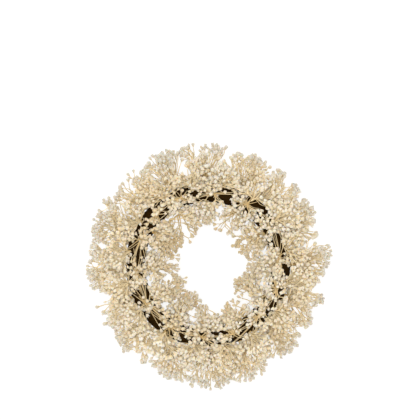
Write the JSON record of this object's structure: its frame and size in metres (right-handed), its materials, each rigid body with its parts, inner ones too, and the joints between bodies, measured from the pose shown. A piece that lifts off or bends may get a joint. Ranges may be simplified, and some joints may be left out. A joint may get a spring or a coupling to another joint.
{
  "type": "dried flower wreath",
  "caption": "Round wreath of cream dried baby's breath sprays set all round a dark base ring with a flat back.",
  "frame": {"origin": "centre of the wreath, on the plane of its flat back", "axes": "+Z out of the front, towards someone who looks at the wreath; +Y is up in the picture"},
  "size_m": [0.3633, 0.3612, 0.0666],
  "materials": {
    "ring_wrap": "matte dark brown wrap",
    "dried_flower": "matte dry petals and stems"
  },
  "bodies": {
    "root": {"base_ring": "ring_wrap", "outer_low_bunch_01": "dried_flower", "outer_low_bunch_02": "dried_flower", "outer_low_bunch_03": "dried_flower", "outer_low_bunch_04": "dried_flower", "outer_low_bunch_05": "dried_flower", "outer_low_bunch_06": "dried_flower", "outer_low_bunch_07": "dried_flower", "outer_low_bunch_08": "dried_flower", "outer_low_bunch_09": "dried_flower", "outer_low_bunch_10": "dried_flower", "outer_low_bunch_11": "dried_flower", "outer_low_bunch_12": "dried_flower", "outer_low_bunch_13": "dried_flower", "outer_low_bunch_14": "dried_flower", "outer_low_bunch_15": "dried_flower", "outer_low_bunch_16": "dried_flower", "outer_high_bunch_01": "dried_flower", "outer_high_bunch_02": "dried_flower", "outer_high_bunch_03": "dried_flower", "outer_high_bunch_04": "dried_flower", "outer_high_bunch_05": "dried_flower", "outer_high_bunch_06": "dried_flower", "outer_high_bunch_07": "dried_flower", "outer_high_bunch_08": "dried_flower", "outer_high_bunch_09": "dried_flower", "outer_high_bunch_10": "dried_flower", "outer_high_bunch_11": "dried_flower", "outer_high_bunch_12": "dried_flower", "outer_high_bunch_13": "dried_flower", "outer_high_bunch_14": "dried_flower", "outer_high_bunch_15": "dried_flower", "outer_high_bunch_16": "dried_flower", "front_bunch_01": "dried_flower", "front_bunch_02": "dried_flower", "front_bunch_03": "dried_flower", "front_bunch_04": "dried_flower", "front_bunch_05": "dried_flower", "front_bunch_06": "dried_flower", "front_bunch_07": "dried_flower", "front_bunch_08": "dried_flower", "front_bunch_09": "dried_flower", "front_bunch_10": "dried_flower", "front_bunch_11": "dried_flower", "front_bunch_12": "dried_flower", "front_bunch_13": "dried_flower", "front_bunch_14": "dried_flower", "inner_bunch_01": "dried_flower", "inner_bunch_02": "dried_flower", "inner_bunch_03": "dried_flower", "inner_bunch_04": "dried_flower", "inner_bunch_05": "dried_flower", "inner_bunch_06": "dried_flower", "inner_bunch_07": "dried_flower", "inner_bunch_08": "dried_flower", "inner_bunch_09": "dried_flower", "inner_bunch_10": "dried_flower", "inner_bunch_11": "dried_flower", "inner_bunch_12": "dried_flower"}
  },
  "joints": []
}
